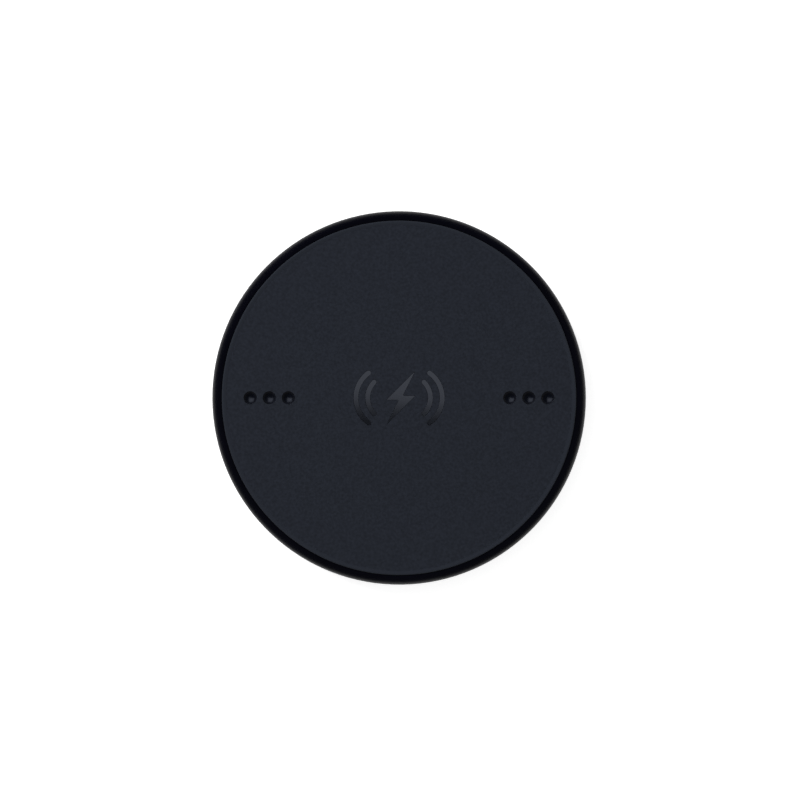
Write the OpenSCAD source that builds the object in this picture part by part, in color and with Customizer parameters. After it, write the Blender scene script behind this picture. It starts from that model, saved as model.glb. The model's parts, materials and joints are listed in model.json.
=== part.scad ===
// Round wireless charging pad: a two-part housing with a soft mat on top, a flat transmitter
// coil on ferrite in a tray, a ring-shaped circuit board around it, and a USB-C socket.
// Millimetres. The origin is the centre of the face that the pad rests on. +Z is up, and +Y
// points at the USB-C socket.

/* [Housing] */
// Outside diameter of the housing
pad_d = 100; // [99:1:110]
// Height of the housing's rim above the table
rim_z = 10; // [10:0.1:12]
// Radius of the rim's rounded shoulder
rim_r = 2.2; // [1.8:0.1:2.3]
// Radius of the lower outside edge
edge_r = 2.2; // [1:0.1:2.4]
// Height of the underside above the table
foot_h = 0.8; // [0.6:0.1:0.9]
// Thickness of the side wall
wall_t = 2; // [1.8:0.1:2.2]

/* [Mat] */
// Thickness of the mat
mat_t = 1; // [0.9:0.05:1.05]
// Height that the mat's upturned lip stands above its flat
lip_rise = 0.2; // [0.1:0.05:0.25]
// Diameter of a dimple
dimple_d = 3.5; // [2.4:0.1:3.6]
// Depth of a dimple
dimple_depth = 0.8; // [0.4:0.05:0.8]
// Distance from the pad's centre to the nearest dimple on each side
dimple_start = 29.5; // [24:0.1:31]
// Distance from one dimple to the next
dimple_pitch = 5.08; // [4.5:0.01:5.3]

/* [Charging symbol] */
// How far the inner pair of arcs reaches from the pad's centre
arc_reach1 = 8.35; // [7.5:0.05:8.6]
// How far the outer pair of arcs reaches
arc_reach2 = 11.5; // [11:0.05:12.5]
// Radius of the inner arcs, at the middle of the stroke
arc_r1 = 6; // [5:0.1:7]
// Radius of the outer arcs
arc_r2 = 8.2; // [7.5:0.1:9.5]
// Half the angle that an inner arc spans
arc_half1 = 44; // [30:1:50]
// Half the angle that an outer arc spans
arc_half2 = 54; // [40:1:60]
// Width of an arc's stroke
arc_w = 1.4; // [1:0.05:1.6]
// Half the height of the bolt
bolt_h = 7.3; // [6:0.1:7.6]

/* [Coil] */
// Turns in the transmitter coil
turns = 10; // [8:1:10]
// Diameter of the litz wire
wire_d = 1.08; // [0.9:0.02:1.1]
// Distance from one turn to the next
turn_pitch = 1.15; // [1.12:0.01:1.16]
// Radius of the innermost turn
coil_r = 10.8; // [10:0.1:11]

/* [Socket] */
// Height of the socket's centre above the table
usb_z = 5; // [5:0.05:5.15]

/* [Hidden] */
$fn = 64;

eps = 0.01;
pad_r = pad_d / 2;

// Levels, from the table up.
tape_t = 0.1;
z_under = foot_h;
z_floor = z_under + 1.5;
z_board = z_floor + 1.1;
board_t = 1;
z_parts = z_board + board_t;
z_tray = z_parts;
tray_t = 0.8;
z_spreader = z_tray + tray_t;
spreader_t = 0.4;
z_ferrite = z_spreader + spreader_t;
ferrite_t = 0.8;
z_coil_tape = z_ferrite + ferrite_t;
z_coil = z_coil_tape + tape_t + wire_d / 2;
z_split = usb_z + 2.6;
z_seat = rim_z - mat_t - tape_t;
z_roof = z_seat - 1.1;

// Housing.
rim_land = 0.4;
seat_r = pad_r - rim_r - rim_land;
mat_r = seat_r - 0.15;
reveal_w = 0.3;
reveal_depth = 0.4;
lip_w = 0.7;
lip_h = 0.7;
lip_gap = 0.1;
lip_break = 18;
lip_r = pad_r - wall_t - lip_gap - lip_w;
mat_lip_w = 1.25;
mat_lip_crest = [0.5, 0.2];
mat_tape_inset = 0.4;
symbol_depth = 0.25;
symbol_sink = 0.05;
bolt_shift = 0.45;

// Case screws and the pillars that they draw together.
screw_angles = [45, 135, 225, 315];
screw_r = 40.5;
pillar_d = 5;
boss_d = 7;
screw_d = 2;
screw_len = 4.5;
screw_head_d = 3.8;
screw_head_t = 1;
screw_recess = [2.2, 0.5, 0.6];
screw_hole_d = 2.3;
counterbore_d = 4.2;
counterbore_top = z_under + 1.55;

// Foot ring and the groove that it is stuck into.
foot_r1 = 36.4;
foot_r2 = 44.6;
foot_gap = 0.1;
groove_depth = 0.5;
foot_flute_r = [38.9, 42.1];
foot_flute_w = 1;
foot_flute_depth = 0.3;
foot_edge = 0.25;
foot_tape_inset = 0.3;

// Label on the underside.
label_w = 40;
label_l = 24;
label_corner = 3;
label_t = 0.12;
label_recess = 0.15;
label_gap = 0.2;

// Circuit board.
board_r1 = 28;
board_r2 = pad_r - 4;
board_screw_angles = [30, 150, 270];
board_screw_r = 31.5;
board_screw_d = 1.6;
board_screw_head_d = 3;
board_screw_head_t = 0.9;
board_screw_recess = [1.8, 0.4, 0.5];
board_boss_d = 4.5;
bridge_r = 40.5;
// Rows of small resistors and capacitors beside the chips: angle, radius and how many.
resistor_rows = [[-7, 33, 3], [8, 33, 3], [84, 36, 2], [91, 33.5, 2], [115, 33, 3],
    [46, 33, 3], [-40, 34, 4], [190, 40, 4], [-80, 41, 2], [-100, 41, 2]];
resistor = [1.6, 0.8, 0.5];
resistor_pitch = 1.6;

// Coil tray and what it holds.
tray_r = 27;
tray_wall = 1.4;
tray_wall_top = z_coil + wire_d / 2;
tray_post_r = 25.3;
tray_post_d = 2.6;
tray_post_angles = [15, 75, 165, 255];
tray_pin_d = 1.4;
rib_break = 10;
ferrite_r = 25.4;
lead_angle = -20;
lead_drop = 1.7;
lead_slot_w = lead_drop + 0.8;
lead_gap_w = lead_slot_w + 1.2;
lead_spread = 2.5;
lead_pad_r = 33;
z_lead_low = z_ferrite + 0.25;
z_lead_pad = z_parts + wire_d / 2 + eps;
sensor_hole_d = 3;
sensor_d = 2.6;
sensor_t = 1;
ballast_r = 23.6;
ballast_t = 1.4;
ballast_tape_inset = 1;

// USB-C socket.
usb_w = 8.94;
usb_h = 3.16;
usb_len = 7.3;
usb_sheet = 0.3;
usb_mouth_y = pad_r - 0.8;
usb_back_y = usb_mouth_y - usb_len;
usb_back_t = 0.8;
usb_base_t = 1.5;
usb_tongue_w = 6.69;
usb_tongue_t = 0.7;
usb_tongue_y = usb_mouth_y - 0.7;
usb_contact_pitch = 0.5;
usb_contact_w = 0.25;
usb_contact_t = 0.05;
usb_contact_len = 3.6;
usb_tail_len = 1;
usb_tail_t = 0.15;
usb_tab = [1.4, 1.2, 0.3];
usb_tab_y = [1.6, 4.2];
usb_clearance = 0.13;
bezel_w = 10.2;
bezel_h = 4.3;
bezel_flange_w = 11.4;
bezel_flange_h = 5;
bezel_flange_t = 0.8;
bezel_flange_y = pad_r - wall_t - 0.4;
bezel_recess = 0.4;

// Light pipe and the lights behind it.
pipe_w = 3;
pipe_h = 1;
pipe_flange_w = 4.2;
pipe_flange_h = 2.2;
pipe_flange_t = 0.7;
pipe_flange_y = pad_r - wall_t - 0.3;
pipe_out_y = pad_r - 0.1;
pipe_in_y = pad_r - 4.6;
led_w = 1.4;
led_d = 1;
led_h = 0.9;

// ---- Helpers -------------------------------------------------------------------------

// Children moved out along the line at this angle.
module place(angle, r, z = 0) {
    rotate([0, 0, angle]) translate([r, 0, z]) children();
}

// A slab standing on z, centred on its own footprint.
module slab(w, l, h) {
    translate([-w / 2, -l / 2, 0]) cube([w, l, h]);
}

module disc(r, z0, z1) {
    translate([0, 0, z0]) cylinder(r = r, h = z1 - z0);
}

module ring(r1, r2, z0, z1) {
    difference() {
        disc(r2, z0, z1);
        disc(r1, z0 - 1, z1 + 1);
    }
}

// A ring of the child's profile with a gap of this many degrees, centred on the angle.
module broken_ring(angle, gap) {
    rotate([0, 0, angle + gap / 2]) rotate_extrude(angle = 360 - gap) children();
}

// An outline w by h with round ends.
module stadium(w, h) {
    square([w - h, h], center = true);
    for (side = [-1, 1]) translate([side * (w - h) / 2, 0]) circle(d = h);
}

// A bar of that outline, running along Y from y0 to y1, with its centre at height z.
module stadium_bar(w, h, y0, y1, z) {
    translate([0, y1, z]) rotate([90, 0, 0]) linear_extrude(y1 - y0) stadium(w, h);
}

// A round rod from p to q.
module rod(p, q, d) {
    v = q - p;
    len = norm(v);
    translate(p) rotate([0, acos(v.z / len), atan2(v.y, v.x)]) cylinder(d = d, h = len);
}

// A wire through the points, with a ball at each bend.
module wire(points, d) {
    for (i = [0 : len(points) - 2]) rod(points[i], points[i + 1], d);
    for (i = [1 : len(points) - 2]) translate(points[i]) sphere(d = d * 1.02);
}

// The cross that a driver fits into: the length, width and depth of its slots.
module cross_recess(size, z) {
    for (turn = [0, 90]) rotate([0, 0, turn]) translate([0, 0, z])
        slab(size.x, size.y, size.z);
}

// A rounded rectangle w by l.
module round_slab(w, l, corner, z0, z1) {
    translate([0, 0, z0]) {
        slab(w - 2 * corner, l, z1 - z0);
        slab(w, l - 2 * corner, z1 - z0);
        for (sx = [-1, 1], sy = [-1, 1])
            translate([sx * (w / 2 - corner), sy * (l / 2 - corner), 0])
                cylinder(r = corner, h = z1 - z0);
    }
}

// ---- Mat and symbol ------------------------------------------------------------------

// One pair of arcs, mirrored about the middle, with round ends.
module symbol_arcs(reach, r, half, h) {
    for (turn = [0, 180]) rotate([0, 0, turn]) translate([reach - r, 0, 0]) {
        rotate([0, 0, -half]) rotate_extrude(angle = 2 * half)
            translate([r - arc_w / 2, 0]) square([arc_w, h]);
        for (side = [-1, 1]) place(side * half, r) cylinder(d = arc_w, h = h);
    }
}

// Lightning bolt between two pairs of arcs, h thick.
module symbol(h) {
    half_w = bolt_h * 0.54;
    waist = bolt_h * 0.08;
    translate([bolt_shift, 0, 0]) linear_extrude(h) polygon([
        [half_w, bolt_h], [-half_w, -waist], [-waist, -waist],
        [-half_w, -bolt_h], [half_w, waist], [waist, waist]
    ]);
    symbol_arcs(arc_reach1, arc_r1, arc_half1, h);
    symbol_arcs(arc_reach2, arc_r2, arc_half2, h);
}

// A cup with steep sides and a nearly flat floor, its mouth at z = 0.
module dimple() {
    steps = 7;
    r = dimple_d / 2;
    floor_r = r * 0.35;
    side = [for (i = [0 : steps]) let (a = 90 * i / steps)
        [floor_r + (r - floor_r) * cos(a), -dimple_depth * sin(a)]];
    rotate_extrude() polygon(concat([[0, 1], [r, 1]], side, [[0, -dimple_depth]]));
}

module top_mat() {
    color("#24272e") difference() {
        rotate_extrude() polygon([
            [0, z_seat + tape_t], [mat_r, z_seat + tape_t], [mat_r, rim_z],
            [mat_r - mat_lip_crest[1], rim_z + lip_rise],
            [mat_r - mat_lip_crest[0], rim_z + lip_rise],
            [mat_r - mat_lip_w, rim_z], [0, rim_z]
        ]);
        for (side = [0, 180], i = [0 : 2])
            place(side, dimple_start + i * dimple_pitch, rim_z) dimple();
        translate([0, 0, rim_z - symbol_depth]) symbol(1);
    }
}

module charging_symbol() {
    color("#33363d") translate([0, 0, rim_z - symbol_depth]) symbol(symbol_depth - symbol_sink);
}

module mat_tape() {
    color("#d8d2c0") disc(mat_r - mat_tape_inset, z_seat, z_seat + tape_t);
}

// ---- Housing -------------------------------------------------------------------------

module upper_section() {
    inner_r = lip_r - 0.2;
    shoulder_r = pad_r - rim_r;
    shoulder_z = rim_z - rim_r;
    difference() {
        union() {
            translate([0, z_roof]) square([shoulder_r, z_seat - z_roof]);
            translate([inner_r, z_split]) square([pad_r - inner_r, shoulder_z - z_split]);
            translate([seat_r, z_split]) square([shoulder_r - seat_r, rim_z - z_split]);
            intersection() {
                translate([shoulder_r, shoulder_z]) circle(r = rim_r);
                translate([shoulder_r, shoulder_z]) square([rim_r, rim_r]);
            }
        }
        translate([pad_r - reveal_depth, z_split - 1]) square([1, 1 + reveal_w / 2]);
    }
}

module top_shell() {
    rib_r = tray_r - tray_wall + 0.1;
    color("#0b0b0f") difference() {
        union() {
            rotate_extrude() upper_section();
            for (a = screw_angles) place(a, screw_r, z_board)
                cylinder(d = pillar_d, h = z_roof - z_board + eps);
            // The lip inside the lower wall stops short on both sides of the socket.
            broken_ring(90, lip_break) translate([lip_r, z_split - lip_h])
                square([lip_w, lip_h + eps]);
            // The rib that holds the coil tray down leaves room for the coil's leads.
            broken_ring(lead_angle, rib_break) translate([rib_r, tray_wall_top])
                square([tray_wall - 0.2, z_roof - tray_wall_top + eps]);
        }
        for (a = screw_angles) place(a, screw_r, z_board - 1)
            cylinder(d = screw_d, h = z_roof - z_board + 0.5);
    }
}

module lower_section() {
    difference() {
        union() {
            translate([0, z_under]) square([pad_r - edge_r, z_split - z_under]);
            translate([0, z_under + edge_r]) square([pad_r, z_split - z_under - edge_r]);
            intersection() {
                translate([pad_r - edge_r, z_under + edge_r]) circle(r = edge_r);
                translate([pad_r - edge_r, z_under]) square([edge_r, edge_r]);
            }
        }
        translate([-1, z_floor]) square([pad_r - wall_t + 1, z_split]);
        translate([pad_r - reveal_depth, z_split - reveal_w / 2]) square([1, 1]);
        translate([foot_r1 - foot_gap, z_under - 1])
            square([foot_r2 - foot_r1 + 2 * foot_gap, 1 + groove_depth]);
    }
}

module bottom_shell() {
    color("#0d0d11") difference() {
        union() {
            rotate_extrude() lower_section();
            for (a = screw_angles) place(a, screw_r, z_floor - 0.5)
                cylinder(d = boss_d, h = z_board - z_floor + 0.5);
            for (a = board_screw_angles) place(a, board_screw_r, z_floor - 0.5)
                cylinder(d = board_boss_d, h = z_board - z_floor + 0.5);
            for (a = tray_post_angles) place(a, tray_post_r, z_floor - 0.5) {
                cylinder(d = tray_post_d, h = z_tray - z_floor + 0.5);
                cylinder(d = tray_pin_d, h = z_tray - z_floor + 0.5 + tray_t - 0.1);
            }
        }
        for (a = screw_angles) place(a, screw_r) {
            disc(counterbore_d / 2, 0, counterbore_top);
            disc(screw_hole_d / 2, 0, z_board + 1);
        }
        for (a = board_screw_angles) place(a, board_screw_r)
            disc(board_screw_d / 2, z_floor - 0.5, z_board + 1);
        round_slab(label_w, label_l, label_corner, -1, z_under + label_recess);
        stadium_bar(bezel_w, bezel_h, pad_r - 2 * wall_t, pad_r + 1, usb_z);
        stadium_bar(pipe_w, pipe_h, -pad_r - 1, -pad_r + 2 * wall_t, usb_z);
    }
}

// Pan head with a cross recess, its head downward.
module case_screw() {
    seat = counterbore_top;
    difference() {
        union() {
            disc(screw_head_d / 2, seat - screw_head_t, seat);
            disc(screw_d / 2, seat - eps, seat + screw_len);
        }
        cross_recess(screw_recess, seat - screw_head_t - eps);
    }
}

module case_screws() {
    color("#8f9296") for (a = screw_angles) place(a, screw_r) case_screw();
}

module foot_ring() {
    color("#17181b") difference() {
        rotate_extrude() {
            difference() {
                translate([foot_r1, 0])
                    square([foot_r2 - foot_r1, z_under + groove_depth - tape_t]);
                for (r = foot_flute_r) translate([r - foot_flute_w / 2, -1])
                    square([foot_flute_w, 1 + foot_flute_depth]);
                for (r = [foot_r1, foot_r2]) translate([r, 0]) rotate(45)
                    square(foot_edge * sqrt(2), center = true);
            }
        }
    }
}

module foot_tape() {
    top = z_under + groove_depth;
    color("#d8d2c0") ring(foot_r1 + foot_tape_inset, foot_r2 - foot_tape_inset, top - tape_t, top);
}

module rating_label() {
    top = z_under + label_recess;
    color("#1d1e22")
        round_slab(label_w - label_gap, label_l - label_gap, label_corner, top - label_t, top);
}

// Soft collar between the socket and the housing wall.
module port_bezel() {
    back_y = bezel_flange_y - bezel_flange_t;
    color("#101014") difference() {
        union() {
            stadium_bar(bezel_w, bezel_h, back_y, pad_r - bezel_recess, usb_z);
            stadium_bar(bezel_flange_w, bezel_flange_h, back_y, bezel_flange_y, usb_z);
        }
        stadium_bar(usb_w, usb_h, 0, pad_r, usb_z);
    }
}

module light_pipe() {
    flange_front = -pipe_flange_y;
    color("#e8eef2", 0.6) {
        stadium_bar(pipe_w, pipe_h, -pipe_out_y, -pipe_in_y, usb_z);
        stadium_bar(pipe_flange_w, pipe_flange_h, flange_front, flange_front + pipe_flange_t,
            usb_z);
    }
}

// ---- USB-C socket --------------------------------------------------------------------

module usb_shell() {
    color("#b9bcc0") difference() {
        union() {
            stadium_bar(usb_w, usb_h, usb_back_y, usb_mouth_y, usb_z);
            for (side = [-1, 1], y = usb_tab_y)
                translate([side * (usb_w / 2 + 0.4), usb_back_y + y, z_parts])
                    slab(usb_tab.x, usb_tab.y, usb_tab.z);
        }
        stadium_bar(usb_w - 2 * usb_sheet, usb_h - 2 * usb_sheet,
            usb_back_y + usb_back_t, pad_r, usb_z);
    }
}

module usb_tongue() {
    base_y = usb_back_y + usb_back_t;
    color("#111113") {
        stadium_bar(usb_w - 2 * usb_sheet, usb_h - 2 * usb_sheet,
            base_y, base_y + usb_base_t, usb_z);
        translate([0, base_y + usb_base_t / 2, usb_z - usb_tongue_t / 2])
            translate([-usb_tongue_w / 2, 0, 0])
                cube([usb_tongue_w, usb_tongue_y - base_y - usb_base_t / 2, usb_tongue_t]);
    }
}

module usb_contacts() {
    front_y = usb_back_y + usb_back_t + usb_base_t;
    color("#d4a647") for (i = [-5.5 : 1 : 5.5]) {
        x = i * usb_contact_pitch;
        for (z = [usb_z + usb_tongue_t / 2, usb_z - usb_tongue_t / 2 - usb_contact_t])
            translate([x - usb_contact_w / 2, front_y, z])
                cube([usb_contact_w, usb_contact_len, usb_contact_t]);
        translate([x - usb_contact_w / 2, usb_back_y - usb_tail_len, z_parts])
            cube([usb_contact_w, usb_tail_len, usb_tail_t]);
    }
}

// ---- Circuit board -------------------------------------------------------------------

module main_board() {
    color("#1d4a33") difference() {
        ring(board_r1, board_r2, z_board, z_parts);
        for (a = screw_angles) place(a, screw_r) disc(pillar_d / 2 + 0.2, 0, rim_z);
        for (a = board_screw_angles) place(a, board_screw_r)
            disc(board_screw_d / 2 + 0.1, 0, rim_z);
        translate([-usb_w / 2 - usb_clearance, usb_back_y - usb_clearance, 0])
            cube([usb_w + 2 * usb_clearance, usb_len, rim_z]);
    }
}

module board_screws() {
    color("#8f9296") for (a = board_screw_angles) place(a, board_screw_r) difference() {
        union() {
            disc(board_screw_head_d / 2, z_parts, z_parts + board_screw_head_t);
            disc(board_screw_d / 2, z_floor - 0.3, z_parts + eps);
        }
        cross_recess(board_screw_recess,
            z_parts + board_screw_head_t - board_screw_recess.z + eps);
    }
}

// A chip package on the board at this angle and radius, turned to face the centre.
module chip(angle, r, w, l, h) {
    place(angle, r, z_parts) slab(w, l, h);
}

// Four packages in a two-by-two block around the same point.
module chip_block(angle, r, w, l, h, gap) {
    for (sx = [-1, 1], sy = [-1, 1])
        rotate([0, 0, angle]) translate([r + sx * (w + gap) / 2, sy * (l + gap) / 2, z_parts])
            slab(w, l, h);
}

module controller_chip() {
    color("#16171a") chip(angle = 0, r = 38.5, w = 6, l = 6, h = 0.85);
}

module bridge_mosfets() {
    color("#1b1c20") chip_block(lead_angle, bridge_r, w = 3.3, l = 3.3, h = 0.8, gap = 0.7);
}

module resonance_capacitors() {
    color("#b08a5c") chip_block(20, 39.5, w = 4.5, l = 3.2, h = 2.2, gap = 0.6);
}

module bulk_capacitors() {
    color("#a9825a") chip_block(117, 40.5, w = 3.2, l = 2.5, h = 2, gap = 0.6);
}

module power_inductor() {
    base_w = 6.6;
    core_w = 6;
    color("#3b3d40") place(63, 36.5, z_parts) {
        slab(base_w, base_w, 0.6);
        slab(core_w, core_w, 2.8);
    }
}

module buck_regulator() {
    color("#16171a") chip(angle = 78, r = 34, w = 3, l = 3, h = 0.75);
}

module protocol_chip() {
    color("#16171a") chip(angle = 103, r = 34.5, w = 4, l = 4, h = 0.75);
}

module chip_resistors() {
    color("#2a2b2e") for (row = resistor_rows, i = [0 : row[2] - 1])
        rotate([0, 0, row[0]]) translate([row[1], (i - (row[2] - 1) / 2) * resistor_pitch, z_parts])
            slab(resistor.x, resistor.y, resistor.z);
}

module status_leds() {
    color("#efe6c4") for (side = [-1, 1])
        translate([side * (led_w / 2 + 0.1), -pipe_in_y + 0.2 + led_d / 2, z_parts])
            slab(led_w, led_d, led_h);
}

module thermal_pad() {
    pad_w = 9;
    color("#8fb0c9") place(lead_angle, bridge_r, z_floor) slab(pad_w, pad_w, z_board - z_floor);
}

// ---- Coil stack ----------------------------------------------------------------------

module ballast_plate() {
    color("#7f8388") disc(ballast_r, z_floor + tape_t, z_floor + tape_t + ballast_t);
}

module ballast_tape() {
    color("#d8d2c0") disc(ballast_r - ballast_tape_inset, z_floor, z_floor + tape_t);
}

// A slot for the coil's inner lead, from beside the innermost turn outwards.
module lead_slot(z0, z1) {
    rotate([0, 0, lead_angle]) translate([coil_r - 0.9, -lead_slot_w, z0])
        cube([40, lead_slot_w, z1 - z0]);
}

module coil_tray() {
    color("#2e3034") difference() {
        disc(tray_r, z_tray, tray_wall_top);
        disc(tray_r - tray_wall, z_spreader, rim_z);
        disc(sensor_hole_d / 2, 0, rim_z);
        for (a = tray_post_angles) place(a, tray_post_r) disc(tray_pin_d / 2 + 0.05, 0, rim_z);
        rotate([0, 0, lead_angle]) translate([tray_r - 3, -lead_slot_w, z_spreader])
            cube([5, lead_gap_w, 10]);
    }
}

module heat_spreader() {
    color("#c9ccd0") difference() {
        disc(ferrite_r - 0.2, z_spreader, z_ferrite);
        disc(sensor_hole_d / 2, 0, rim_z);
        lead_slot(0, rim_z);
    }
}

module ferrite_disc() {
    color("#303134") difference() {
        disc(ferrite_r, z_ferrite, z_coil_tape);
        disc(sensor_hole_d / 2, 0, rim_z);
        lead_slot(0, rim_z);
    }
}

module coil_tape() {
    color("#c9a24a") difference() {
        ring(coil_r - 1, coil_r + turns * turn_pitch + 0.5, z_coil_tape, z_coil_tape + tape_t);
        lead_slot(0, rim_z);
    }
}

// The spiral is half turns about two centres, each half a pitch wider than the last. Its
// inner lead drops into the slot and runs out below the winding.
module tx_coil() {
    outer_r = coil_r + turns * turn_pitch;
    color("#b8713a") rotate([0, 0, lead_angle]) {
        for (i = [0 : 2 * turns - 1])
            translate([i % 2 * turn_pitch / 2, 0, z_coil]) rotate([0, 0, i % 2 * 180])
                rotate_extrude(angle = 180)
                    translate([coil_r + i * turn_pitch / 2, 0]) circle(d = wire_d);
        wire([[coil_r, 0, z_coil], [coil_r, -lead_drop, z_lead_low],
            [tray_r + 0.8, -lead_drop, z_lead_low], [lead_pad_r - 2, -lead_spread, z_lead_pad],
            [lead_pad_r, -lead_spread, z_lead_pad]], wire_d);
        wire([[outer_r, 0, z_coil], [outer_r, 0.8, z_coil], [tray_r + 1, 0.2, z_coil],
            [lead_pad_r - 1.5, lead_spread, z_lead_pad],
            [lead_pad_r, lead_spread, z_lead_pad]], wire_d);
    }
}

// A bead in the middle of the coil, with two leads that run under the tray to the board.
module thermistor() {
    lead_d = 0.4;
    z_run = z_tray - 0.3;
    z_rise = z_parts + 0.4;
    z_pad = z_parts + lead_d / 2 + eps;
    color("#1c3f7a") disc(sensor_d / 2, z_coil_tape, z_coil_tape + sensor_t);
    color("#a7a9ac") for (side = [-0.5, 0.5])
        rotate([0, 0, 180]) wire([[0, side, z_coil_tape + eps], [0, side, z_run],
            [tray_r + 0.15, side, z_run], [tray_r + 0.8, side, z_rise],
            [tray_r + 2, side, z_rise], [tray_r + 3, side, z_pad],
            [tray_r + 4.5, side, z_pad]], lead_d);
}

// ---- Nodes ---------------------------------------------------------------------------

top_mat();
charging_symbol();
mat_tape();
top_shell();
bottom_shell();
case_screws();
foot_ring();
foot_tape();
rating_label();
port_bezel();
light_pipe();
usb_shell();
usb_tongue();
usb_contacts();
main_board();
board_screws();
controller_chip();
bridge_mosfets();
resonance_capacitors();
bulk_capacitors();
power_inductor();
buck_regulator();
protocol_chip();
chip_resistors();
status_leds();
thermal_pad();
ballast_plate();
ballast_tape();
coil_tray();
heat_spreader();
ferrite_disc();
coil_tape();
tx_coil();
thermistor();
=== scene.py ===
"""A round wireless charging pad seen from straight above on a white floor.

The CAD frame gives every size and place. The mat and the charging symbol are rebuilt here as
finer meshes, and every CAD node gets a procedural material.
"""

import json
import math

import bpy
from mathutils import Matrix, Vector
from mathutils.geometry import delaunay_2d_cdt

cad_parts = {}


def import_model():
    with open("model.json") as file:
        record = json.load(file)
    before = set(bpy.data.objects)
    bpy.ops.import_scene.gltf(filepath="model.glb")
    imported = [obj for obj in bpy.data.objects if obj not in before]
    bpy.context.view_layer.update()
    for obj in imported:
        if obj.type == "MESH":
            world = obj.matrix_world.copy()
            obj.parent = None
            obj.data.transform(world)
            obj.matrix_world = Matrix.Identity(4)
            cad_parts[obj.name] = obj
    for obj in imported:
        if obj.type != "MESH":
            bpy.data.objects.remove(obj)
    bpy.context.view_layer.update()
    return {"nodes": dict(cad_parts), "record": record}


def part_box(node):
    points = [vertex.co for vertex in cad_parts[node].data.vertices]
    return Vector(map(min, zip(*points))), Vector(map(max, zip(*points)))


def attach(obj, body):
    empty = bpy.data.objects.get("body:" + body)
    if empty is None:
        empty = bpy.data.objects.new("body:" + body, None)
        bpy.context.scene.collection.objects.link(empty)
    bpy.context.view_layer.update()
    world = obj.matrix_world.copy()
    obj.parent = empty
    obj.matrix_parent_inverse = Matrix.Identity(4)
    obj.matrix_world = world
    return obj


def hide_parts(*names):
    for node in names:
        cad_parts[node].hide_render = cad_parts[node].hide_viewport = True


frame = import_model()
NODES = frame["nodes"]

MM = 0.001


# ---- Sizes from the frame ------------------------------------------------------------

def low(node):
    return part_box(node)[0]


def high(node):
    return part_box(node)[1]


PAD_H = high("top_mat").z
MAT_R = high("top_mat").x
MAT_LOW = low("top_mat").z
RIM_Z = high("top_shell").z
INLAY_LOW = low("charging_symbol").z
INLAY_HIGH = high("charging_symbol").z

# The lip, dimples and recesses of the mat, and the symbol's inlays, as in the CAD model. The
# rounding radii and gaps are too fine for the CAD model.
LIP_W = 1.25 * MM
LIP_CREST_IN = 0.5 * MM
LIP_CREST_OUT = 0.2 * MM
LIP_ROUND = 0.15 * MM
DIMPLE_START = 29.5 * MM
DIMPLE_PITCH = 5.08 * MM
DIMPLE_R = 1.75 * MM
DIMPLE_DEPTH = 0.8 * MM
DIMPLE_LIP = 0.08 * MM
# Each pair of arcs: how far it reaches, its radius, and half its angle in degrees.
ARCS = [(8.35 * MM, 6 * MM, 44), (11.5 * MM, 8.2 * MM, 54)]
ARC_W = 1.4 * MM
BOLT_H = 7.3 * MM
BOLT_SHIFT = 0.45 * MM
TIP_R = 0.08 * MM
NOTCH_R = 3 * TIP_R
RECESS_EDGE = 0.07 * MM
INLAY_GAP = 0.02 * MM
INLAY_EDGE = 0.05 * MM

# How finely the curves are divided.
MAT_SIDES = 288
DIMPLE_SIDES = 48
BOWL_STEPS = 14
BRIM_STEPS = 5
LIP_STEPS = 6
STROKE_STEPS = 40
STROKE_END_STEPS = 14
STROKE_END_GAP = 0.05
CORNER_STEPS = 8
INLAY_EDGE_STEPS = 4

# The camera, in metres, and its lens in millimetres.
CAMERA_H = 0.5133
CAMERA_X = 0.24 * MM
CAMERA_Y = -0.56 * MM
CAMERA_LENS = 85

# The room's brightness, and the sine of the angle up to which its walls reach.
FLOOR_HALF = 4.0
FLOOR_GLOW = 0.68
DOME_LEVEL = 0.50
CEILING_LEVEL = 0.06
WALL_LEVEL = 0.35
WALL_TOP = 0.42
BACKDROP_LEVEL = 1.0

KEY_PLACE = (-0.75, 0.75, 0.95)
KEY_SIZE = 0.6
KEY_POWER = 14.5

# The panel that the mat and the symbol reflect.
CARD_H = CAMERA_H + 0.1
CARD_LEVEL = 1.15
CARD_TINT = (0.92, 1.0, 1.2, 1)
CARD_DARK_Y = -9.5 * MM
CARD_LIGHT_Y = -0.5 * MM
CARD_TURN = math.radians(-4)
CARD_RIGHT_X = 120 * MM
CARD_REACH = 0.9


# ---- Meshes --------------------------------------------------------------------------

def circle(r, count, cx=0.0):
    step = 2 * math.pi / count
    return [(cx + r * math.cos(i * step), r * math.sin(i * step)) for i in range(count)]


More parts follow.
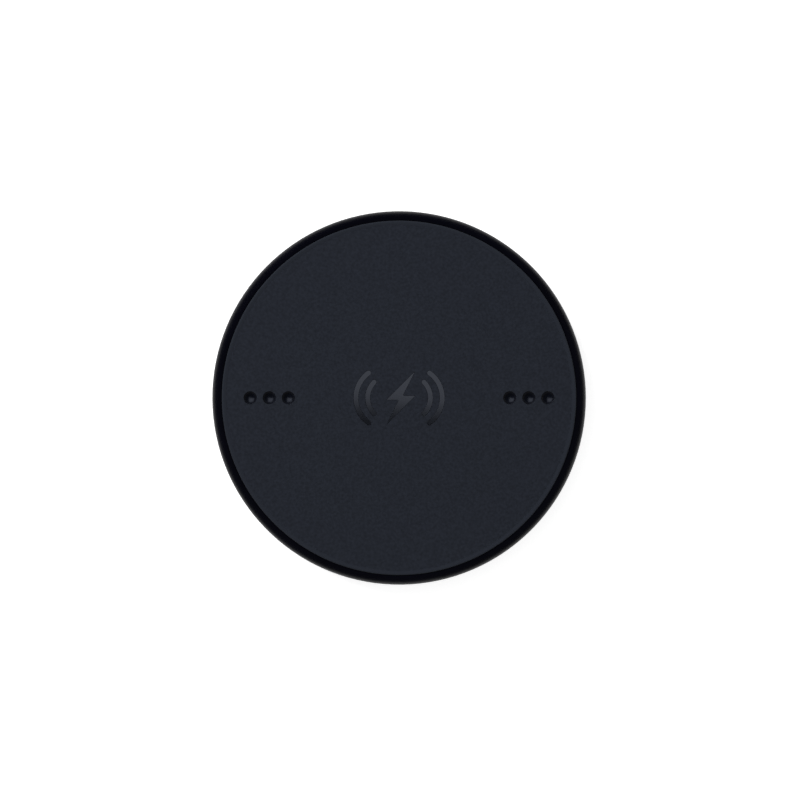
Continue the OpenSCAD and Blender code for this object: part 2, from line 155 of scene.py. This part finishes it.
class Piece:
    """Collects the vertices and faces of one mesh, loop by loop."""

    def __init__(self):
        self.vertices = []
        self.faces = []
        self.looks = []
        self.finish = 0

    def face(self, corners, smooth=True):
        self.faces.append(tuple(corners))
        self.looks.append((smooth, self.finish))

    def loop(self, points, z):
        start = len(self.vertices)
        self.vertices += [(x, y, z) for x, y in points]
        return list(range(start, len(self.vertices)))

    def band(self, inner, outer):
        """Faces between two anticlockwise loops, looking up where outer is the wider one."""
        n = len(inner)
        for i in range(n):
            j = (i + 1) % n
            self.face((inner[i], outer[i], outer[j], inner[j]))

    def bands(self, loops):
        for inner, outer in zip(loops, loops[1:]):
            self.band(inner, outer)

    def cap(self, loop, up=True, smooth=False):
        self.face(loop if up else reversed(loop), smooth)

    def fill(self, outer, holes):
        """Covers the flat region inside outer and outside every hole."""
        rings = [outer] + holes
        index = [i for ring in rings for i in ring]
        points = [Vector(self.vertices[i][:2]) for i in index]
        edges = []
        start = 0
        for ring in rings:
            n = len(ring)
            edges += [(start + i, start + (i + 1) % n) for i in range(n)]
            start += n
        out = delaunay_2d_cdt(points, edges, [], 0, 1e-9)
        corners, triangles, sources = out[0], out[2], out[3]
        hole_shapes = [[points_of(self.vertices, i) for i in ring] for ring in holes]
        outer_shape = [points_of(self.vertices, i) for i in outer]
        for t in triangles:
            middle = sum((corners[k] for k in t), Vector((0, 0))) / 3
            if not inside(middle, outer_shape) or any(inside(middle, h) for h in hole_shapes):
                continue
            self.face([index[sources[k][0]] for k in t], smooth=False)

    def build(self, name, *materials):
        mesh = bpy.data.meshes.new(name)
        mesh.from_pydata(self.vertices, [], self.faces)
        mesh.update()
        for material in materials:
            mesh.materials.append(material)
        for polygon, (smooth, finish) in zip(mesh.polygons, self.looks):
            polygon.use_smooth = smooth
            polygon.material_index = finish
        obj = bpy.data.objects.new(name, mesh)
        bpy.context.scene.collection.objects.link(obj)
        return obj


def points_of(vertices, i):
    return vertices[i][0], vertices[i][1]


def inside(point, shape):
    """Whether the point lies inside the closed line, by counting the sides to its right."""
    x, y = point
    odd = False
    for (ax, ay), (bx, by) in zip(shape, shape[1:] + shape[:1]):
        if (ay > y) != (by > y) and x < ax + (y - ay) * (bx - ax) / (by - ay):
            odd = not odd
    return odd


# An outline is a list of arcs (centre x, centre y, radius, start, end, side, steps). Moving
# it outwards widens the arcs on side +1 and narrows those on side -1.

def outline_points(outline, offset=0.0):
    points = []
    for cx, cy, r, start, end, side, steps in outline:
        for i in range(steps + 1):
            a = start + (end - start) * i / steps
            points.append((cx + (r + side * offset) * math.cos(a),
                           cy + (r + side * offset) * math.sin(a)))
    return points


def arc_outline(reach, r, half_deg, turn):
    """One arc of the symbol: its outer side, one round end, its inner side and the other."""
    half = math.radians(half_deg)
    w = ARC_W / 2
    end_x = reach - r + r * math.cos(half)
    end_y = r * math.sin(half)
    gap = STROKE_END_GAP
    parts = [
        (reach - r, 0, r + w, -half, half, 1, STROKE_STEPS),
        (end_x, end_y, w, half + gap, half + math.pi - gap, 1, STROKE_END_STEPS),
        (reach - r, 0, r - w, half, -half, -1, STROKE_STEPS),
        (end_x, -end_y, w, math.pi - half + gap, 2 * math.pi - half - gap, 1,
         STROKE_END_STEPS),
    ]
    c, s = math.cos(turn), math.sin(turn)
    return [(x * c - y * s, x * s + y * c, rad, a + turn, b + turn, side, n)
            for x, y, rad, a, b, side, n in parts]


def bolt_outline():
    """The bolt: six corners, each rounded a little."""
    half_w = BOLT_H * 0.54
    waist = BOLT_H * 0.08
    half = [(half_w, BOLT_H), (-half_w, -waist), (-waist, -waist)]
    corners = [Vector(c) for c in half] + [-Vector(c) for c in half]
    outline = []
    for i, corner in enumerate(corners):
        u = (corner - corners[i - 1]).normalized()
        v = (corners[(i + 1) % len(corners)] - corner).normalized()
        turn = math.atan2(u.x * v.y - u.y * v.x, u.dot(v))
        side = 1 if turn > 0 else -1
        r = TIP_R if side > 0 else NOTCH_R
        normal = Vector((-u.y, u.x)) * side
        centre = corner - u * r * math.tan(abs(turn) / 2) + normal * r
        start = math.atan2(-normal.y, -normal.x)
        outline.append((centre.x + BOLT_SHIFT, centre.y, r, start, start + turn, side,
                        CORNER_STEPS))
    return outline


OUTLINES = [bolt_outline()] + [
    arc_outline(reach, r, half, turn) for reach, r, half in ARCS for turn in (0, math.pi)
]


def quarter(steps):
    """Pairs (cos, sin) over a right angle, from (1, 0) to (0, 1)."""
    for i in range(steps + 1):
        a = math.pi / 2 * i / steps
        yield math.cos(a), math.sin(a)


def dimple_rings(piece, cx):
    """A round bowl with a softened brim, from its middle up to the flat of the mat. Returns
    the last ring."""
    bowl_r = (DIMPLE_R ** 2 + DIMPLE_DEPTH ** 2) / (2 * DIMPLE_DEPTH)
    reach = math.asin(DIMPLE_R / bowl_r)
    profile = []
    for i in range(1, BOWL_STEPS):
        a = reach * i / BOWL_STEPS
        profile.append((bowl_r * math.sin(a), bowl_r * (1 - math.cos(a)) - DIMPLE_DEPTH))
    brim = [(DIMPLE_R + DIMPLE_LIP * (1 - c), -DIMPLE_LIP * (1 - s))
            for c, s in quarter(BRIM_STEPS)]
    # The bowl takes the second, near-black material, which is painted shade; the brim keeps
    # the mat's own.
    piece.finish = 1
    loops = [piece.loop(circle(r, DIMPLE_SIDES, cx), RIM_Z + z) for r, z in profile + brim]
    piece.cap(loops[0], smooth=True)
    piece.bands(loops[:-len(brim) + 1])
    piece.finish = 0
    piece.bands(loops[-len(brim):])
    return loops[-1]


def recess_rings(piece, outline):
    """The recess of one inlay, from its floor up to the flat of the mat. Returns the last
    ring."""
    loops = [piece.loop(outline_points(outline), INLAY_LOW)]
    for c, s in quarter(BRIM_STEPS):
        loops.append(piece.loop(outline_points(outline, RECESS_EDGE * (1 - c)),
                                RIM_Z - RECESS_EDGE * (1 - s)))
    piece.cap(loops[0])
    piece.bands(loops)
    return loops[-1]


def rounded(corners, r):
    """Points along an open line whose inner corners are rounded to radius r."""
    points = [corners[0]]
    for before, corner, after in zip(corners, corners[1:], corners[2:]):
        u = (Vector(corner) - Vector(before)).normalized()
        v = (Vector(after) - Vector(corner)).normalized()
        turn = math.atan2(u.x * v.y - u.y * v.x, u.dot(v))
        side = math.copysign(1, turn)
        normal = Vector((-u.y, u.x)) * side
        centre = Vector(corner) - u * r * math.tan(abs(turn) / 2) + normal * r
        start = math.atan2(-normal.y, -normal.x)
        for i in range(LIP_STEPS + 1):
            a = start + turn * i / LIP_STEPS
            points.append((centre.x + r * math.cos(a), centre.y + r * math.sin(a)))
    return points + [corners[-1]]


def lip_profile():
    """Radius and height along the lip, from the flat of the mat over to its outer edge."""
    return rounded([
        (MAT_R - LIP_W - LIP_ROUND, RIM_Z), (MAT_R - LIP_W, RIM_Z),
        (MAT_R - LIP_CREST_IN, PAD_H), (MAT_R - LIP_CREST_OUT, PAD_H), (MAT_R, RIM_Z),
        (MAT_R, RIM_Z - LIP_ROUND)], LIP_ROUND / 2)


def build_mat(material, dimple_shade_material):
    """The mat: flat top with dimples and recesses, and a low lip that turns up around it."""
    piece = Piece()
    holes = [recess_rings(piece, outline) for outline in OUTLINES]
    for sign in (-1, 1):
        for i in range(3):
            holes.append(dimple_rings(piece, sign * (DIMPLE_START + i * DIMPLE_PITCH)))
    profile = lip_profile()
    profile.append((MAT_R, MAT_LOW))
    loops = [piece.loop(circle(r, MAT_SIDES), z) for r, z in profile]
    piece.bands(loops)
    piece.cap(loops[-1], up=False)
    piece.fill(loops[0], holes)
    return piece.build("mat", material, dimple_shade_material)


def build_symbol(material):
    """Five glossy inlays with softened edges, a hair below the flat of the mat."""
    piece = Piece()
    for outline in OUTLINES:
        loops = []
        for c, s in quarter(INLAY_EDGE_STEPS):
            loops.append(piece.loop(
                outline_points(outline, -INLAY_GAP - INLAY_EDGE * (1 - s)),
                INLAY_HIGH - INLAY_EDGE * (1 - c)))
        loops.append(piece.loop(outline_points(outline, -INLAY_GAP), INLAY_LOW))
        piece.cap(loops[0])
        piece.bands(loops)
        piece.cap(loops[-1], up=False)
    return piece.build("symbol_inlays", material)


# ---- Materials -----------------------------------------------------------------------

class Shader:
    """One procedural material. Texture sizes are in metres on the object."""

    def __init__(self, name, base, roughness, metallic=0.0, specular=0.5):
        self.material = bpy.data.materials.new(name)
        self.material.use_nodes = True
        self.tree = self.material.node_tree
        self.shader = self.tree.nodes["Principled BSDF"]
        self.base = base
        self.roughness = roughness
        self.set("Base Color", (*base, 1))
        self.set("Roughness", roughness)
        self.set("Metallic", metallic)
        self.set("Specular IOR Level", specular)
        coordinates = self.tree.nodes.new("ShaderNodeTexCoord")
        self.coordinates = coordinates.outputs["Object"]
        self.normal = None

    def set(self, socket, value):
        self.shader.inputs[socket].default_value = value

    def node(self, kind, **values):
        node = self.tree.nodes.new(kind)
        for key, value in values.items():
            setattr(node, key, value)
        return node

    def link(self, a, b):
        self.tree.links.new(a, b)

    def stretched(self, stretch):
        mapping = self.node("ShaderNodeMapping")
        mapping.inputs["Scale"].default_value = stretch
        self.link(self.coordinates, mapping.inputs["Vector"])
        return mapping.outputs["Vector"]

    def noise(self, size, detail=3.0, stretch=(1, 1, 1), distortion=0.0):
        node = self.node("ShaderNodeTexNoise")
        node.inputs["Scale"].default_value = 1 / size
        node.inputs["Detail"].default_value = detail
        node.inputs["Distortion"].default_value = distortion
        self.link(self.stretched(stretch), node.inputs["Vector"])
        return node.outputs["Fac"]

    def cells(self, size):
        node = self.node("ShaderNodeTexVoronoi")
        node.inputs["Scale"].default_value = 1 / size
        self.link(self.coordinates, node.inputs["Vector"])
        return node.outputs["Distance"]

    def ramp(self, factor, stops):
        node = self.node("ShaderNodeValToRGB")
        elements = node.color_ramp.elements
        while len(elements) < len(stops):
            elements.new(0.5)
        for element, (position, colour) in zip(elements, stops):
            element.position = position
            element.color = (*colour, 1)
        self.link(factor, node.inputs["Fac"])
        return node.outputs["Color"]

    def tint(self, factor, spread, second=None):
        """Varies the base colour by the factor: darker to lighter, or towards a second one."""
        dark = tuple(c * (1 - spread) for c in self.base)
        light = second or tuple(min(1, c * (1 + spread)) for c in self.base)
        self.link(self.ramp(factor, [(0.3, dark), (0.7, light)]),
                  self.shader.inputs["Base Color"])

    def height(self, start, end):
        """0 up to the height start on the object, rising to 1 at the height end."""
        split = self.node("ShaderNodeSeparateXYZ")
        self.link(self.coordinates, split.inputs["Vector"])
        node = self.node("ShaderNodeMapRange")
        node.inputs["From Min"].default_value = start
        node.inputs["From Max"].default_value = end
        self.link(split.outputs["Z"], node.inputs["Value"])
        return node.outputs["Result"]

    def blend_base(self, factor, colour):
        """Fades the base colour made so far towards another one."""
        node = self.node("ShaderNodeMix", data_type="RGBA")
        base = self.shader.inputs["Base Color"]
        self.link(base.links[0].from_socket, node.inputs["A"])
        node.inputs["B"].default_value = (*colour, 1)
        self.link(factor, node.inputs["Factor"])
        self.link(node.outputs["Result"], base)

    def vary_roughness(self, factor, spread):
        node = self.node("ShaderNodeMapRange")
        node.inputs["To Min"].default_value = max(0.02, self.roughness - spread)
        node.inputs["To Max"].default_value = min(1, self.roughness + spread)
        self.link(factor, node.inputs["Value"])
        self.link(node.outputs["Result"], self.shader.inputs["Roughness"])

    def bump(self, height, depth, strength=1.0):
        """Adds relief, depth metres deep, on top of what is there."""
        node = self.node("ShaderNodeBump")
        node.inputs["Strength"].default_value = strength
        node.inputs["Distance"].default_value = depth
        self.link(height, node.inputs["Height"])
        if self.normal:
            self.link(self.normal, node.inputs["Normal"])
        self.normal = node.outputs["Normal"]
        self.link(self.normal, self.shader.inputs["Normal"])


def mat_rubber():
    """Soft-touch silicone: a fine, even grain with hardly any shine, and a painted highlight
    that makes the raised lip paler.
    """
    s = Shader("mat", (0.0140, 0.0167, 0.0240), 0.8, specular=0.12)
    grain = s.noise(0.7 * MM, detail=4)
    s.tint(grain, 0.22)
    # Painted highlight: everything above the flat of the mat, the lip, is blended towards a
    # paler colour.
    s.blend_base(s.height(RIM_Z, RIM_Z + 0.1 * MM), (0.0163, 0.0193, 0.0272))
    s.vary_roughness(s.noise(3 * MM), 0.06)
    s.bump(grain, 0.02 * MM, 0.5)
    s.bump(s.noise(0.12 * MM, detail=2), 0.006 * MM, 0.5)
    s.set("Sheen Weight", 0.03)
    s.set("Sheen Roughness", 0.6)
    return s.material


def dimple_gloss_painted_shade():
    """Smooth dimples, painted near black with a blue cast: painted shade in the hollows."""
    s = Shader("mat_dimples_painted_shade", (0.0001, 0.0009, 0.0046), 0.28, specular=0.4)
    film = s.noise(0.5 * MM)
    s.tint(film, 0.2)
    s.vary_roughness(film, 0.04)
    s.bump(film, 0.003 * MM, 0.3)
    return s.material


def symbol_gloss():
    """Smoked gloss inlay."""
    s = Shader("symbol", (0.0028, 0.0036, 0.0062), 0.08, specular=0.5)
    film = s.noise(1.4 * MM)
    s.tint(film, 0.10)
    s.vary_roughness(film, 0.02)
    s.bump(film, 0.0015 * MM, 0.3)
    return s.material


def moulded(name, base, roughness, grain=0.28 * MM, depth=0.008 * MM, specular=0.35):
    """Spark-eroded mould texture with faint flow marks."""
    s = Shader(name, base, roughness, specular=specular)
    texture = s.noise(grain, detail=4)
    s.tint(s.noise(14 * MM, detail=2), 0.12)
    s.vary_roughness(texture, 0.06)
    s.bump(texture, depth, 0.6)
    s.bump(s.cells(grain * 1.6), depth * 0.6, 0.4)
    return s.material


def rubber(name, base, roughness=0.75):
    """Matt rubber with a coarse grain."""
    s = Shader(name, base, roughness, specular=0.25)
    grain = s.noise(0.4 * MM, detail=5)
    s.tint(s.noise(5 * MM), 0.18)
    s.vary_roughness(grain, 0.08)
    s.bump(grain, 0.02 * MM, 0.6)
    return s.material


def sheet_metal(name, base, roughness, along=(1, 14, 14)):
    """Rolled metal: long fine streaks one way and a little staining."""
    s = Shader(name, base, roughness, metallic=1.0)
    streaks = s.noise(2.5 * MM, detail=5, stretch=along)
    s.tint(s.noise(4 * MM), 0.10)
    s.vary_roughness(streaks, 0.10)
    s.bump(streaks, 0.004 * MM, 0.5)
    return s.material


def film_tape(name, base):
    """Double-sided tape: cloudy film over a fibrous backing."""
    s = Shader(name, base, 0.55, specular=0.4)
    fibres = s.noise(0.8 * MM, detail=6, stretch=(1, 3, 1), distortion=0.6)
    s.tint(fibres, 0.14)
    s.vary_roughness(s.noise(3 * MM), 0.1)
    s.bump(fibres, 0.01 * MM, 0.4)
    return s.material


def solder_mask():
    """Green mask over copper: tracks show as a slightly lighter, raised pattern."""
    s = Shader("circuit_board", (0.012, 0.075, 0.04), 0.32, specular=0.5)
    tracks = s.node("ShaderNodeTexBrick")
    tracks.inputs["Scale"].default_value = 1 / (4 * MM)
    tracks.inputs["Mortar Size"].default_value = 0.04
    tracks.inputs["Color1"].default_value = (0.012, 0.075, 0.04, 1)
    tracks.inputs["Color2"].default_value = (0.014, 0.085, 0.045, 1)
    tracks.inputs["Mortar"].default_value = (0.02, 0.13, 0.065, 1)
    s.link(s.coordinates, tracks.inputs["Vector"])
    s.link(tracks.outputs["Color"], s.shader.inputs["Base Color"])
    s.vary_roughness(s.noise(2 * MM), 0.06)
    s.bump(tracks.outputs["Fac"], 0.02 * MM, 0.6)
    s.bump(s.noise(0.5 * MM), 0.006 * MM, 0.4)
    return s.material


def speckled(name, base, roughness, size=0.3 * MM, spread=0.3):
    """Sintered or pressed powder."""
    s = Shader(name, base, roughness, specular=0.4)
    powder = s.noise(size, detail=6)
    s.tint(powder, spread)
    s.vary_roughness(powder, 0.1)
    s.bump(powder, 0.012 * MM, 0.5)
    return s.material


def litz():
    """Enamelled strands twisted together: fine slanting ridges of copper."""
    s = Shader("copper", (0.50, 0.19, 0.07), 0.35, metallic=1.0)
    waves = s.node("ShaderNodeTexWave", wave_type="RINGS", rings_direction="Z")
    waves.inputs["Scale"].default_value = 1 / (1.6 * MM)
    waves.inputs["Distortion"].default_value = 2.5
    waves.inputs["Detail"].default_value = 2
    s.link(s.coordinates, waves.inputs["Vector"])
    s.tint(waves.outputs["Fac"], 0.3, second=(0.68, 0.30, 0.12))
    s.vary_roughness(s.noise(1.2 * MM), 0.1)
    s.bump(waves.outputs["Fac"], 0.05 * MM, 0.7)
    return s.material


def frosted():
    """Frosted polycarbonate that passes light."""
    s = Shader("light_pipe", (0.75, 0.78, 0.80), 0.35, specular=0.5)
    s.set("Transmission Weight", 0.55)
    s.set("IOR", 1.58)
    haze = s.noise(0.5 * MM, detail=4)
    s.tint(haze, 0.08)
    s.vary_roughness(haze, 0.08)
    s.bump(haze, 0.01 * MM, 0.4)
    return s.material


def epoxy(name, base):
    """Cast resin, smooth with faint swirls."""
    s = Shader(name, base, 0.22, specular=0.5)
    swirl = s.noise(1.2 * MM, distortion=1.0)
    s.tint(swirl, 0.2)
    s.vary_roughness(swirl, 0.06)
    s.bump(swirl, 0.02 * MM, 0.3)
    return s.material


BY_SLOT = {
    "mat": mat_rubber(),
    "symbol": symbol_gloss(),
    "adhesive": film_tape("adhesive", (0.62, 0.58, 0.48)),
    "housing": moulded("housing", (0.0014, 0.0015, 0.0043), 0.40, specular=0.15),
    "screws": sheet_metal("screws", (0.42, 0.43, 0.44), 0.32),
    "foot": rubber("foot", (0.012, 0.012, 0.013)),
    "label": film_tape("label", (0.020, 0.020, 0.023)),
    "bezel": moulded("bezel", (0.006, 0.006, 0.007), 0.6, grain=0.2 * MM),
    "light_pipe": frosted(),
    "socket_steel": sheet_metal("socket_steel", (0.50, 0.51, 0.52), 0.28, along=(14, 1, 14)),
    "socket_insulator": moulded("socket_insulator", (0.010, 0.010, 0.011), 0.5,
                                grain=0.15 * MM),
    "contacts": sheet_metal("contacts", (0.68, 0.45, 0.14), 0.25, along=(14, 1, 14)),
    "circuit_board": solder_mask(),
    "chips": speckled("chips", (0.014, 0.014, 0.015), 0.55, size=0.12 * MM),
    "capacitors": speckled("capacitors", (0.32, 0.19, 0.10), 0.5, size=0.4 * MM),
    "inductor": speckled("inductor", (0.05, 0.052, 0.055), 0.6),
    "leds": epoxy("leds", (0.72, 0.66, 0.42)),
    "thermal_pad": rubber("thermal_pad", (0.27, 0.40, 0.55), 0.65),
    "ballast": sheet_metal("ballast", (0.30, 0.31, 0.32), 0.35),
    "tray": moulded("tray", (0.028, 0.030, 0.034), 0.5),
    "heat_spreader": sheet_metal("heat_spreader", (0.60, 0.61, 0.62), 0.30),
    "ferrite": speckled("ferrite", (0.030, 0.030, 0.032), 0.5, size=0.2 * MM),
    "copper": litz(),
    "sensor": epoxy("sensor", (0.02, 0.06, 0.20)),
}


def dress_frame():
    """Gives every CAD node the material of its slot."""
    for part in frame["record"]["subparts"]:
        mesh = NODES[part["node"]].data
        material = BY_SLOT[part["material_slot"]]
        if not mesh.materials:
            mesh.materials.append(material)
        for i in range(len(mesh.materials)):
            mesh.materials[i] = material


# ---- Stage ---------------------------------------------------------------------------

def floor():
    """A white light table: it glows, so that a thin object leaves hardly a shadow on it."""
    half = FLOOR_HALF
    mesh = bpy.data.meshes.new("floor")
    mesh.from_pydata([(-half, -half, 0), (half, -half, 0), (half, half, 0), (-half, half, 0)],
                     [], [(0, 1, 2, 3)])
    obj = bpy.data.objects.new("floor", mesh)
    bpy.context.scene.collection.objects.link(obj)
    s = Shader("floor", (0.88, 0.88, 0.88), 0.9, specular=0.1)
    s.set("Emission Color", (1, 1, 1, 1))
    s.set("Emission Strength", FLOOR_GLOW)
    mesh.materials.append(s.material)


def key_light():
    """A soft light from the back left, aimed at the pad and unseen in reflections."""
    data = bpy.data.lights.new("key", "AREA")
    data.size = KEY_SIZE
    data.energy = KEY_POWER
    obj = bpy.data.objects.new("key", data)
    obj.location = KEY_PLACE
    obj.rotation_euler = (-Vector(KEY_PLACE)).to_track_quat("-Z", "Y").to_euler()
    obj.visible_glossy = False
    bpy.context.scene.collection.objects.link(obj)


def gradient_card(*receivers):
    """A large panel overhead, to the back and left, whose near edge fades out straight above
    the pad. The receivers reflect it: the inlays fade along Y, and the dimples catch it."""
    mesh = bpy.data.meshes.new("gradient_card")
    mesh.from_pydata([(-CARD_REACH, CARD_DARK_Y, CARD_H), (-CARD_REACH, CARD_REACH, CARD_H),
                      (CARD_RIGHT_X, CARD_REACH, CARD_H), (CARD_RIGHT_X, CARD_DARK_Y, CARD_H)],
                     [], [(0, 1, 2, 3)])
    obj = bpy.data.objects.new("gradient_card", mesh)
    obj.rotation_euler.z = CARD_TURN
    bpy.context.scene.collection.objects.link(obj)
    material = bpy.data.materials.new("gradient_card")
    material.use_nodes = True
    tree = material.node_tree
    tree.nodes.clear()
    coordinates = tree.nodes.new("ShaderNodeTexCoord")
    split = tree.nodes.new("ShaderNodeSeparateXYZ")
    fade = tree.nodes.new("ShaderNodeMapRange")
    fade.interpolation_type = "SMOOTHSTEP"
    fade.inputs["From Min"].default_value = CARD_DARK_Y
    fade.inputs["From Max"].default_value = CARD_LIGHT_Y
    fade.inputs["To Max"].default_value = CARD_LEVEL
    emission = tree.nodes.new("ShaderNodeEmission")
    emission.inputs["Color"].default_value = CARD_TINT
    output = tree.nodes.new("ShaderNodeOutputMaterial")
    tree.links.new(coordinates.outputs["Object"], split.inputs["Vector"])
    tree.links.new(split.outputs["Y"], fade.inputs["Value"])
    tree.links.new(fade.outputs["Result"], emission.inputs["Strength"])
    tree.links.new(emission.outputs["Emission"], output.inputs["Surface"])
    mesh.materials.append(material)
    obj.visible_camera = False
    obj.visible_diffuse = False
    obj.visible_shadow = False
    obj.visible_transmission = False
    linked = bpy.data.collections.new("card_receivers")
    for receiver in receivers:
        linked.objects.link(receiver)
    obj.light_linking.receiver_collection = linked


def world():
    """A pale room with a dark ceiling. The ceiling's darkness and the walls show only in
    reflections: as light, and as a backdrop, the room is even."""
    scene_world = bpy.data.worlds.new("studio")
    bpy.context.scene.world = scene_world
    scene_world.use_nodes = True
    tree = scene_world.node_tree
    direction = tree.nodes.new("ShaderNodeTexCoord")
    split = tree.nodes.new("ShaderNodeSeparateXYZ")
    tree.links.new(direction.outputs["Generated"], split.inputs["Vector"])
    walls = tree.nodes.new("ShaderNodeMapRange")
    walls.inputs["From Max"].default_value = WALL_TOP
    walls.inputs["To Min"].default_value = WALL_LEVEL
    walls.inputs["To Max"].default_value = CEILING_LEVEL
    tree.links.new(split.outputs["Z"], walls.inputs["Value"])
    level = walls.outputs["Result"]
    path = tree.nodes.new("ShaderNodeLightPath")
    for ray, value in (("Is Diffuse Ray", DOME_LEVEL), ("Is Camera Ray", BACKDROP_LEVEL)):
        choice = tree.nodes.new("ShaderNodeMapRange")
        choice.inputs["To Max"].default_value = value
        tree.links.new(level, choice.inputs["To Min"])
        tree.links.new(path.outputs[ray], choice.inputs["Value"])
        level = choice.outputs["Result"]
    tree.links.new(level, tree.nodes["Background"].inputs["Strength"])
    tree.nodes["Background"].inputs["Color"].default_value = (1, 1, 1, 1)


def camera():
    """A camera straight above, looking down, as a camera does with no rotation."""
    data = bpy.data.cameras.new("camera")
    data.lens = CAMERA_LENS
    data.clip_start = 0.01
    obj = bpy.data.objects.new("camera", data)
    obj.location = (CAMERA_X, CAMERA_Y, CAMERA_H)
    bpy.context.scene.collection.objects.link(obj)
    bpy.context.scene.camera = obj


# ---- The scene -----------------------------------------------------------------------

bpy.context.scene.view_settings.view_transform = "Standard"

camera()
world()
floor()
key_light()

dress_frame()
mat = build_mat(BY_SLOT["mat"], dimple_gloss_painted_shade())
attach(mat, "root")
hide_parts("top_mat")

symbol = build_symbol(BY_SLOT["symbol"])
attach(symbol, "root")
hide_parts("charging_symbol")

gradient_card(mat, symbol)
